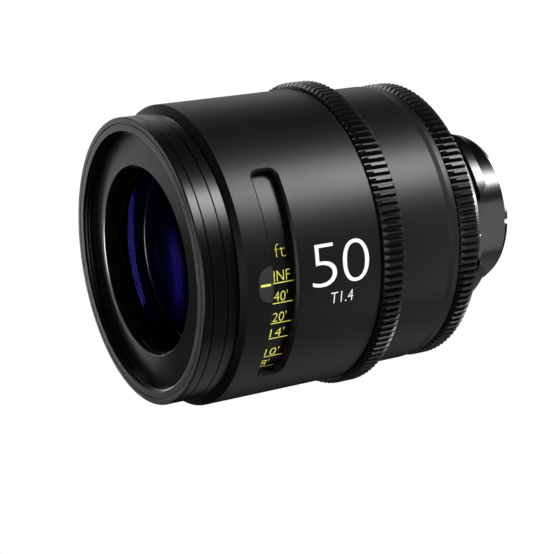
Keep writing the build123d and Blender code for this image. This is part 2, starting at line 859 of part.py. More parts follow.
iris_housing = turned(
    (aperture_radius, main_end),
    (housing_outer, main_end),
    (housing_outer, housing_floor_end),
    (housing_rim_outer, housing_floor_end),
    (housing_rim_outer, actuator_rear),
    (actuator_outer + running_fit, actuator_rear),
    (actuator_outer + running_fit, ledge_end),
    (housing_rim_inner, ledge_end),
    (housing_rim_inner, housing_floor_end),
    (aperture_radius + edge_break, housing_floor_end),
)
for blade in range(blade_count):
    iris_housing -= axial_pin(
        pivot_pin + pin_clearance,
        pivot_circle,
        360 / blade_count * blade,
        main_end - overrun,
        housing_floor_end + overrun,
    )
for clock in housing_screw_clocks:
    iris_housing -= countersunk(
        housing_screw_radius + seat_fit / 2,
        housing_screw_head + seat_fit / 2,
        housing_screw_circle,
        clock,
        main_end - overrun,
        housing_floor_end,
    )
lever_post = axial_pin(lever_pivot_radius, lever_pivot_circle, lever_clock, housing_floor_end, lever_rear)
lever_boss = axial_pin(
    lever_pivot_radius + lever_boss_wall,
    lever_pivot_circle,
    lever_clock,
    housing_floor_end,
    lever_front - face_gap,
)
iris_housing += [lever_post, lever_boss]
save("iris_housing", iris_housing)
save("housing_screws", *[
    countersunk(
        housing_screw_radius, housing_screw_head, housing_screw_circle, clock, housing_screw_front, housing_floor_end
    )
    for clock in housing_screw_clocks
])

# Lever between the iris ring's scroll slot and the ring that drives the blades
def lever_point(radial, side, turn):
    """Where a point of the lever lies, as x and z, after the lever has turned by an angle."""
    angle = radians(turn)
    x = lever_pivot_circle + radial * cos(angle) - side * sin(angle)
    z = radial * sin(angle) + side * cos(angle)
    return (x, z)


lever_swing = degrees(
    2 * asin(lever_pin_circle * sin(radians(actuator_turn / 2)) / lever_inner_arm)
)
lever_rest = lever_swing / 2
inner_pin = lever_point(-lever_inner_arm, 0, lever_rest)
outer_pin = lever_point(lever_outer_radial, lever_outer_side, lever_rest)
pivot = (lever_pivot_circle, 0)

lever = make_hull(disc_at(pivot, lever_lug).edges() + disc_at(inner_pin, lever_pin_lug).edges())
lever += make_hull(disc_at(pivot, lever_lug).edges() + disc_at(outer_pin, lever_pin_lug).edges())
lever -= disc_at(pivot, lever_pivot_radius + running_fit)
iris_lever = at_clock(lever_clock, plate(lever, lever_front, lever_rear))
iris_lever += at_clock(
    lever_clock, plate(disc_at(inner_pin, lever_pin_radius), actuator_front, lever_front)
)
iris_lever += at_clock(
    lever_clock, plate(disc_at(outer_pin, lever_pin_radius), lever_rear, cam_disc_rear - face_gap)
)
save("iris_lever", iris_lever)

# Drive ring of the blades, with a short slot for each drive pin and one for the lever
actuator = ring(actuator_inner, actuator_outer, actuator_front, actuator_rear)
tail_high = pivot_circle + tail_arm
for blade in range(blade_count):
    clock = 360 / blade_count * blade + tail_start
    tail_slot_half = tail_pin + 2 * pin_clearance
    tail_slot = make_hull(
        disc_at(polar(tail_circle - pin_clearance, clock), tail_slot_half).edges()
        + disc_at(polar(tail_high + pin_clearance, clock), tail_slot_half).edges()
    )
    actuator -= plate(tail_slot, actuator_front - overrun, actuator_rear + overrun)
lever_slot_half = lever_pin_radius + 2 * pin_clearance
inner_clock = degrees(atan2(inner_pin[1], inner_pin[0]))
inner_reach = hypot(*inner_pin)
lever_slot = make_hull(
    disc_at(polar(lever_pin_circle - pin_clearance, inner_clock), lever_slot_half).edges()
    + disc_at(polar(inner_reach + pin_clearance, inner_clock), lever_slot_half).edges()
)
actuator -= at_clock(lever_clock, plate(lever_slot, actuator_front - overrun, actuator_rear + overrun))
save("iris_actuator_ring", actuator)

# Iris ring: the gear ring outside, and the scroll disc that joins it from the inside
base_fit = 0.1
base_wall = 2.8
disc_sleeve_wall = 2.0
iris_stop_wall = 2.8

base_bore = housing_rim_outer + base_fit
base_outer = base_bore + base_wall
iris_bore = base_outer + running_fit
iris_stop_radius = base_outer + iris_stop_wall


def scroll_point(share):
    """The lever's outer pin as the turning scroll disc sees it, at a share of the iris travel."""
    x, z = lever_point(lever_outer_radial, lever_outer_side, lever_rest - lever_swing * share)
    return polar(hypot(x, z), degrees(atan2(z, x)) - iris_turn * share)


scroll_step_share = (scroll_end_share - scroll_start_share) / (scroll_points - 1)
scroll_path = [scroll_point(scroll_start_share + scroll_step_share * count) for count in range(scroll_points)]
scroll_half = lever_pin_radius + 2 * pin_clearance
scroll_slot = trace(Spline(*scroll_path), 2 * scroll_half)
scroll_disc = turned(
    (iris_bore, cam_disc_front),
    (disc_outer, cam_disc_front),
    (disc_outer, iris_gear_front),
    (disc_outer - disc_sleeve_wall, iris_gear_front),
    (disc_outer - disc_sleeve_wall, cam_disc_rear),
    (iris_bore, cam_disc_rear),
)
scroll_cut = plate(scroll_slot, cam_disc_front - overrun, cam_disc_rear + overrun)
scroll_ends = [
    plate(disc_at(end, scroll_half), cam_disc_front - overrun, cam_disc_rear + overrun)
    for end in (scroll_path[0], scroll_path[-1])
]
scroll_disc -= at_clock(lever_clock, scroll_cut)
scroll_disc -= [at_clock(lever_clock, end) for end in scroll_ends]
save("iris_cam_ring", scroll_disc)

iris_gear = gear(iris_teeth, iris_gear_front, iris_gear_width)
iris_gear -= ring(0, iris_bore, iris_gear_front - overrun, iris_gear_rear + overrun)
iris_gear -= stop_slot(iris_stop_radius, stop_slot_half, iris_gear_rear, stop_depth, 0, iris_turn)
save("iris_gear_ring", iris_gear)

# Mount base: the fixed tube behind the iris housing and the cone between iris ring and mount
base_lip_lap = 1.0
base_lip_width = 0.5
base_flange_height = 4.4
base_flange_width = 0.8
base_neck_wall = 4.9
base_web_reach = 10.3
base_web_width = 3.5
lever_window_first = -7.0
lever_window_turn = 24.0
lever_window_margin = 0.5
shim_thickness = 0.2
screw_clock = 45.0
mount_screw_count = 4
mount_screw_radius = 1.0
mount_screw_head = 1.9
mount_screw_wall = 3.1
mount_screw_reach = 5.3
element_9_edge = 20.5
rear_cell_wall = 4.0
rear_collar_wall = 3.8
mount_ring_radius = 30.7
lug_height = 2.6

rear_cell_outer = element_9_edge + rear_cell_wall
rear_collar_radius = rear_cell_outer + rear_collar_wall
base_seat_bore = rear_collar_radius + seat_fit
base_neck_radius = mount_ring_radius + base_neck_wall
lug_radius = mount_ring_radius + lug_height
mount_screw_circle = lug_radius - mount_screw_wall
mount_screw_front = mount_base_end - mount_screw_reach
base_lip = actuator_outer - base_lip_lap
base_flange_radius = base_outer + base_flange_height
base_web_front = mount_base_end - base_web_reach
base_web_rear = base_web_front + base_web_width
lever_window_end = lever_rear + lever_window_margin
base_flange_front = iris_gear_rear + face_gap
base_lip_front = actuator_rear + face_gap
mount_base = turned(
    (base_bore, housing_floor_end),
    (base_outer, housing_floor_end),
    (base_outer, base_flange_front),
    (base_flange_radius - edge_break, base_flange_front),
    (base_flange_radius, base_flange_front + edge_break),
    (base_flange_radius, base_flange_front + base_flange_width),
    (base_neck_radius, mount_base_end - edge_break),
    (base_neck_radius - edge_break, mount_base_end),
    (base_seat_bore, mount_base_end),
    (base_seat_bore, base_web_rear),
    (rear_cell_outer + seat_fit, base_web_rear),
    (rear_cell_outer + seat_fit, base_web_front),
    (base_bore, base_web_front),
    (base_bore, base_lip_front + base_lip_width),
    (base_lip, base_lip_front + base_lip_width),
    (base_lip, base_lip_front),
    (base_bore, base_lip_front),
)
lever_window = revolve(
    make_face(Polyline(
        place(base_lip - overrun, housing_floor_end - overrun),
        place(base_outer + overrun, housing_floor_end - overrun),
        place(base_outer + overrun, lever_window_end),
        place(base_lip - overrun, lever_window_end),
        close=True,
    )),
    Axis.Y,
    revolution_arc=lever_window_turn,
)
mount_base -= at_clock(lever_clock + lever_window_first + lever_window_turn, lever_window)
mount_screw_clocks = [screw_clock + 360 / mount_screw_count * count for count in range(mount_screw_count)]
for clock in mount_screw_clocks:
    mount_base -= axial_pin(
        mount_screw_radius, mount_screw_circle, clock, mount_screw_front, mount_base_end + overrun
    )
mount_base -= axial_pin(
    stop_pin_radius, iris_stop_radius, 0, base_flange_front - overrun, base_flange_front + stop_depth
)
save("mount_base", mount_base)
save(
    "stop_pins",
    axial_pin(
        stop_pin_radius, stop_radius, 0, focus_gear_rear - stop_reach, rear_barrel_front + stop_depth
    ),
    axial_pin(
        stop_pin_radius, iris_stop_radius, 0, iris_gear_rear - stop_reach, base_flange_front + stop_depth
    ),
)

# Rear group: two cemented pairs in a cell that the mount clamps in the mount base
element_7_set_back = 5.5
element_7_thickness = 2.2
element_7_front_curve = -38.0
element_7_front_rim_width = 2.0
element_7_rear_curve = 90.0
element_7_edge = 19.0
element_8_thickness = 9.0
element_8_rear_curve = -52.0
element_9_air = 2.8
element_9_thickness = 7.0
element_9_front_curve = 110.0
element_9_rear_curve = -70.0
element_10_thickness = 2.5
element_10_rear_curve = -200.0
rear_cell_reach = 15.0
rear_cell_lip = 1.5
rear_cell_rim = 1.9
rear_retainer_lap = 2.0
rear_retainer_wall = 1.5
rear_retainer_rim = 1.1

rear_cell_front = base_web_front - rear_cell_reach
element_7_vertex = rear_cell_front + element_7_set_back
element_7_front_clear = element_7_edge - element_7_front_rim_width
element_9_vertex = element_7_vertex + element_7_thickness + element_8_thickness + element_9_air
rear_retainer_bore = element_9_edge - rear_retainer_lap
rear_retainer_thread = element_9_edge + rear_retainer_wall
element_8_vertex = element_7_vertex + element_7_thickness
element_8_back = element_8_vertex + element_8_thickness
element_10_vertex = element_9_vertex + element_9_thickness
element_10_back = element_10_vertex + element_10_thickness
rear_retainer_end = element_10_back + rear_retainer_rim
rear_cell_end = rear_retainer_end + rear_cell_rim
element_7_rim = element_7_vertex + sag(element_7_front_curve, element_7_front_clear)
element_9_seat = element_9_vertex + sag(element_9_front_curve, element_7_edge + seat_fit)
element_10_rim = element_10_back + sag(element_10_rear_curve, element_9_edge)
rear_lip_radius = element_7_edge - rear_cell_lip

save("lens_element_7", glass(
    element_7_vertex, element_7_thickness, element_7_front_curve, element_7_rear_curve,
    element_7_edge, front_clear=element_7_front_clear,
))
save("lens_element_8", glass(
    element_8_vertex, element_8_thickness, element_7_rear_curve, element_8_rear_curve, element_7_edge,
))
save("lens_element_9", glass(
    element_9_vertex, element_9_thickness, element_9_front_curve, element_9_rear_curve, element_9_edge,
))
save("lens_element_10", glass(
    element_10_vertex, element_10_thickness, element_9_rear_curve, element_10_rear_curve, element_9_edge,
))

save("rear_cell", turned(
    (rear_lip_radius, rear_cell_front),
    (rear_cell_outer, rear_cell_front),
    (rear_cell_outer, base_web_rear),
    (rear_collar_radius, base_web_rear),
    (rear_collar_radius, mount_base_end + shim_thickness - face_gap),
    (rear_cell_outer, mount_base_end + shim_thickness - face_gap),
    (rear_cell_outer, rear_cell_end),
    (rear_retainer_thread, rear_cell_end),
    (rear_retainer_thread, element_10_rim),
    (element_9_edge + seat_fit, element_10_rim),
    (element_9_edge + seat_fit, element_9_seat),
    (element_7_edge + seat_fit, element_9_seat),
    (element_7_edge + seat_fit, element_7_rim - face_gap),
    (rear_lip_radius, element_7_rim - face_gap),
))
save("rear_spacer", turned(
    (rear_lip_radius, element_8_back + sag(element_8_rear_curve, rear_lip_radius) + face_gap),
    (element_7_edge, element_8_back + sag(element_8_rear_curve, element_7_edge) + face_gap),
    (element_7_edge, element_9_vertex + sag(element_9_front_curve, element_7_edge) - face_gap),
    (rear_lip_radius, element_9_vertex + sag(element_9_front_curve, rear_lip_radius) - face_gap),
))
save("rear_retaining_ring", turned(
    (rear_retainer_bore, element_10_back + sag(element_10_rear_curve, rear_retainer_bore) + face_gap),
    (element_9_edge, element_10_rim + face_gap),
    (rear_retainer_thread - seat_fit, element_10_rim + face_gap),
    (rear_retainer_thread - seat_fit, rear_retainer_end),
    (rear_retainer_bore + edge_break, rear_retainer_end),
    (rear_retainer_bore, rear_retainer_end - edge_break),
))

# Mount: a ring with four slanted lugs and a register tube, on a shim, with four screws
mount_ring_step = 1.4
lug_thickness = 3.5
lug_front_half = 14.2
lug_rear_half = 10.3
register_fit = 0.7
register_wall = 1.8
register_shoulder = 0.4
register_chamfer = 1.5
register_chamfer_depth = 0.8
key_notch_width = 1.9
key_notch_depth = 1.8

mount_ring_rear = flange_station - mount_ring_step
lug_front = flange_station - lug_thickness
register_bore = rear_cell_outer + register_fit
register_radius = register_bore + register_wall
mount_front = mount_base_end + shim_thickness
mount_shim = ring(base_seat_bore + face_gap, mount_ring_radius - face_gap, mount_base_end, mount_front)
for clock in mount_screw_clocks:
    mount_shim -= axial_pin(
        mount_screw_radius + seat_fit / 2, mount_screw_circle, clock, mount_screw_front, flange_station
    )
save("mount_shim", mount_shim)

lens_mount = turned(
    (register_bore, mount_front),
    (mount_ring_radius, mount_front),
    (mount_ring_radius, mount_ring_rear),
    (register_radius + register_shoulder, mount_ring_rear),
    (register_radius + register_shoulder, flange_station),
    (register_radius, flange_station),
    (register_radius, mount_rear - register_chamfer),
    (register_radius - register_chamfer_depth, mount_rear),
    (register_bore + edge_break, mount_rear),
    (register_bore, mount_rear - edge_break),
)
lug_outline = make_face(Polyline(
    (-lug_front_half, lug_front - flange_station),
    (lug_front_half, lug_front - flange_station),
    (lug_rear_half, 0),
    (-lug_rear_half, 0),
    close=True,
))
lug_block = Plane(origin=(register_bore + edge_break, 0, 0), x_dir=(0, 0, -1), z_dir=(1, 0, 0)) * lug_outline
lug_limit = ring(register_bore + edge_break, lug_radius, lug_front - overrun, flange_station)
lug = extrude(lug_block, lug_radius) & lug_limit
for clock in mount_screw_clocks:
    lens_mount += at_clock(clock, lug)
    lens_mount -= countersunk(
        mount_screw_radius + seat_fit / 2,
        mount_screw_head + seat_fit / 2,
        mount_screw_circle,
        clock,
        mount_front - overrun,
        flange_station,
    )
lens_mount -= Pos(register_radius, mount_rear - flange_station, 0) * Box(
    2 * (register_radius - register_bore + overrun), 2 * key_notch_depth, key_notch_width
)
save("lens_mount", lens_mount)
save("mount_screws", *[
    countersunk(
        mount_screw_radius, mount_screw_head, mount_screw_circle, clock, mount_screw_front, flange_station
    )
    for clock in mount_screw_clocks
])

# Light baffle in the rear mouth of the register tube
rear_baffle_inset = 2.0
rear_baffle_length = 3.6
rear_baffle_wall = 0.8

rear_baffle_end = mount_rear - rear_baffle_inset
rear_baffle_front = rear_baffle_end - rear_baffle_length
rear_baffle_hole = element_9_edge
baffle_outer = register_bore - seat_fit
save("rear_light_baffle", turned(
    (baffle_outer - rear_baffle_wall, rear_baffle_front),
    (baffle_outer, rear_baffle_front),
    (baffle_outer, rear_baffle_end),
    (rear_baffle_hole + edge_break, rear_baffle_end),
    (rear_baffle_hole, rear_baffle_end - edge_break),
    (rear_baffle_hole, rear_baffle_end - rear_baffle_wall),
    (baffle_outer - rear_baffle_wall, rear_baffle_end - rear_baffle_wall),
))
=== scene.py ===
# A 50 mm cinema prime lens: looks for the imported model, in metres. The optical axis is Y,
# the front of the lens looks towards -Y, and +X is the side with the distance window.
from math import asin, cos, degrees, hypot, pi, radians, sin

import bmesh
import bpy
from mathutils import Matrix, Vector


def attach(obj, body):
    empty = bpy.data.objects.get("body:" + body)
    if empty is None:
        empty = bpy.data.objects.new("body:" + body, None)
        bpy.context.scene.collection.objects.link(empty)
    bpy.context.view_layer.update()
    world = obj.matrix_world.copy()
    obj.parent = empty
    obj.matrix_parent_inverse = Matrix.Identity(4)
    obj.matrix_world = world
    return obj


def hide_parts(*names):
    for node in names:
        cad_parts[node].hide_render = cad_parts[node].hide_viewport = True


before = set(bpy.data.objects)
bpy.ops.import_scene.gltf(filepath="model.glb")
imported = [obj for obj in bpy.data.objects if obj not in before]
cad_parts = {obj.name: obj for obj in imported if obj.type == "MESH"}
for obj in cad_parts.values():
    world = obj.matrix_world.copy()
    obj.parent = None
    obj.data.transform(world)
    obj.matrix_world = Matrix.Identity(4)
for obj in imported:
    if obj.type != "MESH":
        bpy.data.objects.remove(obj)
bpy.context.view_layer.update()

# Photo set: the lens floats in a white cove, well above a pale floor.
# A key softbox stands behind on the window side, lamps light the front face from the left and
# the side, a card fills the rear, and two more lamps light the far side and the back.
camera_place = (0.476283, -0.337899, 0.134432)
camera_turn = (74.8891, 1.7066, 59.9008)
camera_lens = 107.0675
camera_data = bpy.data.cameras.new("camera")
camera_data.lens = camera_lens
camera_data.sensor_width = 36
camera_data.clip_start = 0.01
camera = bpy.data.objects.new("camera", camera_data)
camera.location = camera_place
camera.rotation_euler = [radians(turn) for turn in camera_turn]
bpy.context.scene.collection.objects.link(camera)
bpy.context.scene.camera = camera
bpy.context.scene.view_settings.view_transform = "Standard"

lens_centre = Vector((0, -0.06, 0))


def heading(azimuth, elevation):
    """A direction: azimuth from the front of the lens towards the window side, then up."""
    flat = cos(radians(elevation))
    return Vector((sin(radians(azimuth)) * flat, -cos(radians(azimuth)) * flat, sin(radians(elevation))))


def softbox(name, azimuth, elevation, distance, width, height, radiance):
    """A rectangular soft lamp that faces the lens."""
    lamp = bpy.data.lights.new(name, "AREA")
    lamp.shape = "RECTANGLE"
    lamp.size = width
    lamp.size_y = height
    lamp.energy = radiance * pi * width * height
    stand = bpy.data.objects.new(name, lamp)
    towards = heading(azimuth, elevation)
    stand.location = lens_centre + towards * distance
    stand.rotation_euler = towards.to_track_quat("Z", "Y").to_euler()
    stand.visible_camera = False
    bpy.context.scene.collection.objects.link(stand)


softbox("key_softbox", 135, 43.5, 1.2, 0.46, 0.44, 14.5)
softbox("front_lamp", -79, -10, 1.2, 0.32, 0.5, 4.0)
softbox("side_lamp", 24, -8, 1.2, 0.7, 0.7, 2.2)
softbox("rear_card", 136, -14, 0.42, 0.17, 0.44, 0.9)
softbox("left_softbox", -84, 42, 1.2, 0.36, 0.36, 7.0)
softbox("back_lamp", -168, 6, 1.2, 0.6, 0.5, 10.0)

floor_level = -0.42
floor_size = 6.0
floor_mesh = bmesh.new()
bmesh.ops.create_grid(floor_mesh, x_segments=1, y_segments=1, size=floor_size)
bmesh.ops.translate(floor_mesh, verts=floor_mesh.verts, vec=(0, 0, floor_level))
floor_data = bpy.data.meshes.new("floor")
floor_mesh.to_mesh(floor_data)
floor_mesh.free()
floor = bpy.data.objects.new("floor", floor_data)
bpy.context.scene.collection.objects.link(floor)

floor_paper = bpy.data.materials.new("floor_paper")
floor_paper.use_nodes = True
floor_nodes = floor_paper.node_tree.nodes
floor_links = floor_paper.node_tree.links
floor_nodes.clear()
floor_out = floor_nodes.new("ShaderNodeOutputMaterial")
floor_matte = floor_nodes.new("ShaderNodeBsdfDiffuse")
floor_matte.inputs["Color"].default_value = (0.92, 0.92, 0.92, 1)
floor_glow = floor_nodes.new("ShaderNodeEmission")
floor_path = floor_nodes.new("ShaderNodeLightPath")
floor_open = floor_nodes.new("ShaderNodeBsdfTransparent")
floor_kind = floor_nodes.new("ShaderNodeMixShader")
floor_links.new(floor_path.outputs["Is Glossy Ray"], floor_kind.inputs["Fac"])
floor_links.new(floor_matte.outputs["BSDF"], floor_kind.inputs[1])
floor_links.new(floor_open.outputs["BSDF"], floor_kind.inputs[2])
floor_mix = floor_nodes.new("ShaderNodeMixShader")
floor_links.new(floor_path.outputs["Is Camera Ray"], floor_mix.inputs["Fac"])
floor_links.new(floor_kind.outputs["Shader"], floor_mix.inputs[1])
floor_links.new(floor_glow.outputs["Emission"], floor_mix.inputs[2])
floor_links.new(floor_mix.outputs["Shader"], floor_out.inputs["Surface"])
floor_data.materials.append(floor_paper)

cove = bpy.data.worlds.new("cove")
bpy.context.scene.world = cove
cove.use_nodes = True
cove_nodes = cove.node_tree.nodes
cove_links = cove.node_tree.links
cove_nodes.clear()
cove_out = cove_nodes.new("ShaderNodeOutputWorld")
cove_direction = cove_nodes.new("ShaderNodeTexCoord")


def cove_patch(azimuth, elevation, full, none, brightness):
    """A soft round patch of light on the cove, as a brightness that fades between two angles."""
    towards = cove_nodes.new("ShaderNodeVectorMath")
    towards.operation = "DOT_PRODUCT"
    towards.inputs[1].default_value = heading(azimuth, elevation)
    cove_links.new(cove_direction.outputs["Generated"], towards.inputs[0])
    fade = cove_nodes.new("ShaderNodeMapRange")
    fade.interpolation_type = "SMOOTHSTEP"
    fade.inputs["From Min"].default_value = cos(radians(none))
    fade.inputs["From Max"].default_value = cos(radians(full))
    fade.inputs["To Max"].default_value = brightness
    cove_links.new(towards.outputs["Value"], fade.inputs["Value"])
    return fade.outputs["Result"]


def cove_sum(values):
    """The patches added up."""
    total = values[0]
    for value in values[1:]:
        add = cove_nodes.new("ShaderNodeMath")
        cove_links.new(total, add.inputs[0])
        cove_links.new(value, add.inputs[1])
        total = add.outputs["Value"]
    return total


reflected = cove_sum([
    cove_patch(-84, -3, 12, 34, 0.36),
    cove_patch(-117, 27, 3, 20, 0.4),
    cove_patch(-124, 4, 10, 27, 0.5),
    cove_patch(-178, -64, 4, 36, 0.42),
    cove_patch(0, 90, 10, 179, 0.015),
])
cove_path = cove_nodes.new("ShaderNodeLightPath")
shown = cove_nodes.new("ShaderNodeMath")
shown.operation = "MAXIMUM"
cove_links.new(cove_path.outputs["Is Glossy Ray"], shown.inputs[0])
cove_links.new(cove_path.outputs["Is Transmission Ray"], shown.inputs[1])
cove_glossy = cove_nodes.new("ShaderNodeBackground")
cove_links.new(reflected, cove_glossy.inputs["Strength"])
cove_soft = cove_nodes.new("ShaderNodeBackground")
cove_soft.inputs["Color"].default_value = (0.6, 0.6, 0.6, 1)
cove_white = cove_nodes.new("ShaderNodeBackground")
cove_white.inputs["Color"].default_value = (1, 1, 1, 1)
cove_kind = cove_nodes.new("ShaderNodeMixShader")
cove_links.new(shown.outputs["Value"], cove_kind.inputs["Fac"])
cove_links.new(cove_soft.outputs["Background"], cove_kind.inputs[1])
cove_links.new(cove_glossy.outputs["Background"], cove_kind.inputs[2])
cove_seen = cove_nodes.new("ShaderNodeMixShader")
cove_links.new(cove_path.outputs["Is Camera Ray"], cove_seen.inputs["Fac"])
cove_links.new(cove_kind.outputs["Shader"], cove_seen.inputs[1])
cove_links.new(cove_white.outputs["Background"], cove_seen.inputs[2])
cove_links.new(cove_seen.outputs["Shader"], cove_out.inputs["Surface"])


# Main barrel, carriage and cells: turned aluminium tube, dull black anodised.
# The gear rings turn on the main barrel, and the focus carriage slides in its bore.
def metal(name, colour, roughness, metallic=0.0, grain=0.0, grain_size=0.0002, sheen=0.5):
    """A machined surface: a colour and gloss that wander slightly, and a blasted grain."""
    material = bpy.data.materials.new(name)
    material.use_nodes = True
    nodes = material.node_tree.nodes
    links = material.node_tree.links
    shader = nodes["Principled BSDF"]
    shader.inputs["Metallic"].default_value = metallic
    shader.inputs["Specular IOR Level"].default_value = sheen
    place = nodes.new("ShaderNodeTexCoord")
    cloud = nodes.new("ShaderNodeTexNoise")
    cloud.inputs["Scale"].default_value = 60
    cloud.inputs["Detail"].default_value = 3
    links.new(place.outputs["Object"], cloud.inputs["Vector"])
    tint = nodes.new("ShaderNodeMix")
    tint.data_type = "RGBA"
    tint.inputs[6].default_value = (*[part * 0.85 for part in colour], 1)
    tint.inputs[7].default_value = (*[part * 1.15 for part in colour], 1)
    links.new(cloud.outputs["Fac"], tint.inputs["Factor"])
    links.new(tint.outputs[2], shader.inputs["Base Color"])
    gloss = nodes.new("ShaderNodeMapRange")
    gloss.inputs["To Min"].default_value = roughness * 0.94
    gloss.inputs["To Max"].default_value = roughness * 1.06
    links.new(cloud.outputs["Fac"], gloss.inputs["Value"])
    links.new(gloss.outputs["Result"], shader.inputs["Roughness"])
    if grain:
        blast = nodes.new("ShaderNodeTexNoise")
        blast.inputs["Scale"].default_value = 1 / grain_size
        blast.inputs["Detail"].default_value = 2
        links.new(place.outputs["Object"], blast.inputs["Vector"])
        bump = nodes.new("ShaderNodeBump")
        bump.inputs["Strength"].default_value = grain
        bump.inputs["Distance"].default_value = 0.00001
        links.new(blast.outputs["Fac"], bump.inputs["Height"])
        links.new(bump.outputs["Normal"], shader.inputs["Normal"])
    return material


def finish(material, *names):
    """Give CAD nodes their finish."""
    for name in names:
        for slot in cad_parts[name].material_slots:
            slot.material = material


dull_black = metal("dull_black_anodising", (0.012, 0.012, 0.013), 0.45, grain=0.3)
finish(dull_black, "main_barrel", "focus_carriage", "front_cell", "rear_cell", "iris_housing")

# Cam sleeve and scroll disc: clear anodised, so that the rollers run on a smooth slot.
# The washers and rollers are bearing bronze, and the pins, screws and levers are steel.
clear_anodising = metal("clear_anodising", (0.55, 0.55, 0.56), 0.35, metallic=1.0, grain=0.2)
bronze = metal("bearing_bronze", (0.16, 0.11, 0.06), 0.45, metallic=1.0, grain=0.2)
ground_steel = metal("ground_steel", (0.5, 0.5, 0.51), 0.25, metallic=1.0, grain=0.2)
black_steel = metal("blackened_steel", (0.06, 0.06, 0.06), 0.35, metallic=0.6, grain=0.2)
flat_black = metal("flat_black_paint", (0.004, 0.004, 0.004), 0.6, grain=0.4, sheen=0.3)
finish(clear_anodising, "focus_cam_sleeve", "iris_cam_ring")
finish(bronze, "focus_thrust_washers", "cam_follower_rollers")
finish(ground_steel, "stop_pins", "cam_follower_screws", "iris_actuator_ring", "iris_lever")
finish(black_steel, "housing_screws", "focus_ring_screws")
finish(flat_black, "element_3_spacer", "rear_spacer", "carriage_retaining_ring")

# Iris: sixteen thin spring-steel leaves with a dark dry-film coating, stacked on the housing.
# Each turns on its own pin, so each stays a node of its own.
blade_film = metal("blade_film", (0.012, 0.012, 0.013), 0.42, metallic=0.4, grain=0.3)
finish(blade_film, *[f"iris_blade_{number:02d}" for number in range(1, 17)])


# Rear glass and middle glass: ground and polished elements, three of them on the carriage.
# Their anti-reflection coatings leave a faint green or violet reflection.
def coated_glass(name, coating, strength, haze=0.02, bend=1.0):
    """Clear glass whose reflection is tinted by its coating and grows towards the edge."""
    material = bpy.data.materials.new(name)
    material.use_nodes = True
    nodes = material.node_tree.nodes
    links = material.node_tree.links
    nodes.clear()
    out = nodes.new("ShaderNodeOutputMaterial")
    clear = nodes.new("ShaderNodeBsdfRefraction" if bend > 1 else "ShaderNodeBsdfTransparent")
    clear.inputs["Color"].default_value = (0.97, 0.975, 0.97, 1)
    if bend > 1:
        clear.inputs["IOR"].default_value = bend
        clear.inputs["Roughness"].default_value = 0
    polish = nodes.new("ShaderNodeBsdfGlossy")
    polish.inputs["Roughness"].default_value = haze
    place = nodes.new("ShaderNodeTexCoord")
    cloud = nodes.new("ShaderNodeTexNoise")
    cloud.inputs["Scale"].default_value = 40
    links.new(place.outputs["Object"], cloud.inputs["Vector"])
    tint = nodes.new("ShaderNodeMix")
    tint.data_type = "RGBA"
    tint.inputs[6].default_value = (*[part * 0.92 for part in coating], 1)
    tint.inputs[7].default_value = (*coating, 1)
    links.new(cloud.outputs["Fac"], tint.inputs["Factor"])
    links.new(tint.outputs[2], polish.inputs["Color"])
    slope = nodes.new("ShaderNodeLayerWeight")
    power = nodes.new("ShaderNodeMath")
    power.operation = "POWER"
    power.inputs[1].default_value = 5
    links.new(slope.outputs["Facing"], power.inputs[0])
    share = nodes.new("ShaderNodeMapRange")
    share.inputs["To Min"].default_value = 0.04 * strength
    share.inputs["To Max"].default_value = min(1.0, strength)
    links.new(power.outputs["Value"], share.inputs["Value"])
    mix = nodes.new("ShaderNodeMixShader")
    links.new(share.outputs["Result"], mix.inputs["Fac"])
    links.new(clear.outputs["BSDF"], mix.inputs[1])
    links.new(polish.outputs["BSDF"], mix.inputs[2])
    links.new(mix.outputs["Shader"], out.inputs["Surface"])
    return material


def merged_copy(name, flat=0.0):
    """A CAD node's mesh with its loose triangles joined, as a bmesh of its own."""
    shape = bmesh.new()
    shape.from_mesh(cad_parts[name].data)
    bmesh.ops.remove_doubles(shape, verts=shape.verts, dist=0.000002)
    if flat:
        bmesh.ops.dissolve_limit(shape, angle_limit=radians(flat), verts=shape.verts, edges=shape.edges)
    return shape


def round_normals(data):
    """Shade each face that runs round the optical axis as truly round, and the others flat."""
    normals = []
    for face in data.polygons:
        middle = Vector((face.center.x, 0, face.center.z)).normalized()
        outward = face.normal.dot(middle)
        for index in face.vertices:
            place = data.vertices[index].co
            reach = Vector((place.x, 0, place.z))
            if hypot(outward, face.normal.y) > 0.995 and reach.length > 0.001:
                normals.append((reach.normalized() * outward + Vector((0, face.normal.y, 0))).normalized())
            else:
                normals.append(face.normal.copy())
    data.normals_split_custom_set(normals)


def finished(name, shape, *materials, crease=0.0, turn_out=True):
    """A bmesh made into a piece: turned surfaces round, or all smooth except at its creases."""
    bmesh.ops.remove_doubles(shape, verts=shape.verts, dist=0.0000005)
    if turn_out:
        bmesh.ops.recalc_face_normals(shape, faces=shape.faces)
    data = bpy.data.meshes.new(name)
    shape.to_mesh(data)
    shape.free()
    data.polygons.foreach_set("use_smooth", [True] * len(data.polygons))
    if crease:
        data.set_sharp_from_angle(angle=radians(crease))
    else:
        round_normals(data)
    for material in materials:
        data.materials.append(material)
    piece = bpy.data.objects.new(name, data)
    bpy.context.scene.collection.objects.link(piece)
    return piece


green_coating = coated_glass("green_coated_glass", (0.5, 1.0, 0.6), 0.25)
violet_coating = coated_glass("violet_coated_glass", (0.7, 0.5, 1.0), 0.6)
for number, body, slot, coating in (
    (4, "focus_carriage", "glass", green_coating),
    (5, "focus_carriage", "glass", green_coating),
    (6, "focus_carriage", "glass", green_coating),
    (7, "lens_body", "glass", green_coating),
    (8, "lens_body", "glass", green_coating),
    (9, "lens_body", "glass", green_coating),
    (10, "lens_body", "rear_glass", violet_coating),
):
    node = f"lens_element_{number}"
    element = finished(f"{node}_polished", merged_copy(node), coating, crease=30, turn_out=False)
    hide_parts(node)
    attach(element, body)

